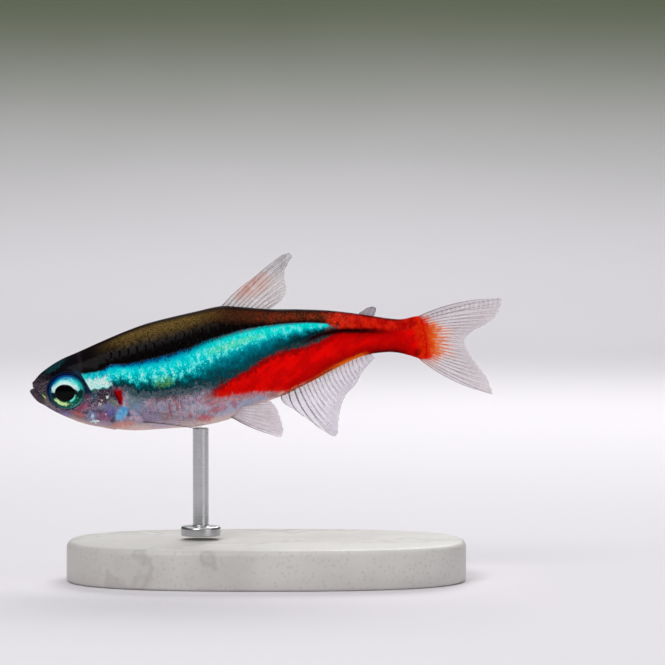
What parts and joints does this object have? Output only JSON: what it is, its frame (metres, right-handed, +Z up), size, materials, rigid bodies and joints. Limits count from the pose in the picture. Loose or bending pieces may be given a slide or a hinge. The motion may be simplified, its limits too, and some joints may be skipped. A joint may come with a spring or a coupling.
{
  "type": "neon tetra display model",
  "caption": "Life-size still model of a slender small fish with forked tail, swimming nose slightly down, held by a rod on a flat rounded stone base.",
  "frame": {"origin": "centre of the base's underside, below the middle of the model's box", "axes": "+X from the snout to the tail, +Y towards the fish's right side, +Z up"},
  "size_m": [0.0354, 0.018, 0.0246],
  "materials": {
    "skin": "glossy iridescent painted skin, dark olive above, turquoise stripe, silvery belly",
    "skin_red": "glossy scarlet painted skin",
    "eye": "polished, black pupil in a silvery turquoise iris",
    "fin": "thin clear membrane with fine rays",
    "base": "honed pale stone",
    "rod": "satin"
  },
  "bodies": {
    "root": {"head": "skin", "lower_jaw": "skin", "trunk": "skin", "tail_stalk": "skin_red", "eye_left": "eye", "eye_right": "eye", "dorsal_fin": "fin", "adipose_fin": "fin", "anal_fin": "fin", "caudal_fin": "fin", "pectoral_fin_left": "fin", "pectoral_fin_right": "fin", "pelvic_fin_left": "fin", "pelvic_fin_right": "fin", "stand_base": "base", "stand_rod": "rod"}
  },
  "joints": []
}
